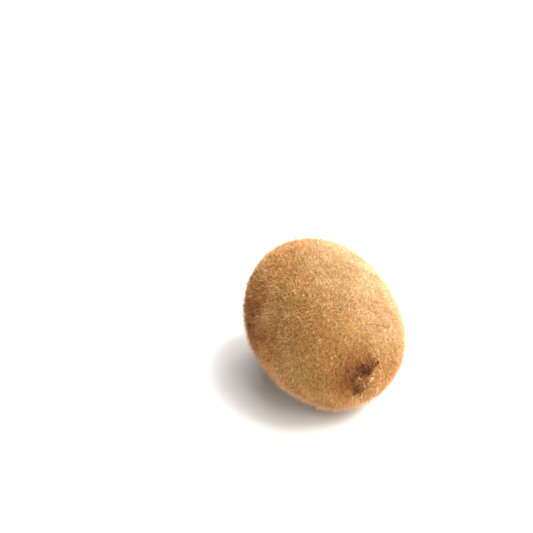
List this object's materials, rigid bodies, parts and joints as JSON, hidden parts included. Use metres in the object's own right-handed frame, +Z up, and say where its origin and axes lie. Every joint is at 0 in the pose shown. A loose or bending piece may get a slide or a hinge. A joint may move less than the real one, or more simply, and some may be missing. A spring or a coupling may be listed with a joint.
{
  "type": "kiwi fruit",
  "caption": "Whole hairy brown kiwi fruit lying on its side, with a corky stem scar and dried sepals at one end and a tuft of dried styles at the other.",
  "frame": {"origin": "middle of the box's bottom face, on the surface that the fruit rests on", "axes": "+X along the long axis towards the blossom end, +Z up"},
  "size_m": [0.0734, 0.048, 0.0475],
  "materials": {
    "skin": "matte brown skin under a coat of short golden hairs",
    "cork": "dry fibrous tan cork",
    "dried_sepal": "dry papery dark brown leaf",
    "dried_style": "dry dark brown threads"
  },
  "bodies": {
    "root": {"fruit": "skin", "stem_scar": "cork", "sepals": "dried_sepal", "styles": "dried_style"}
  },
  "joints": []
}
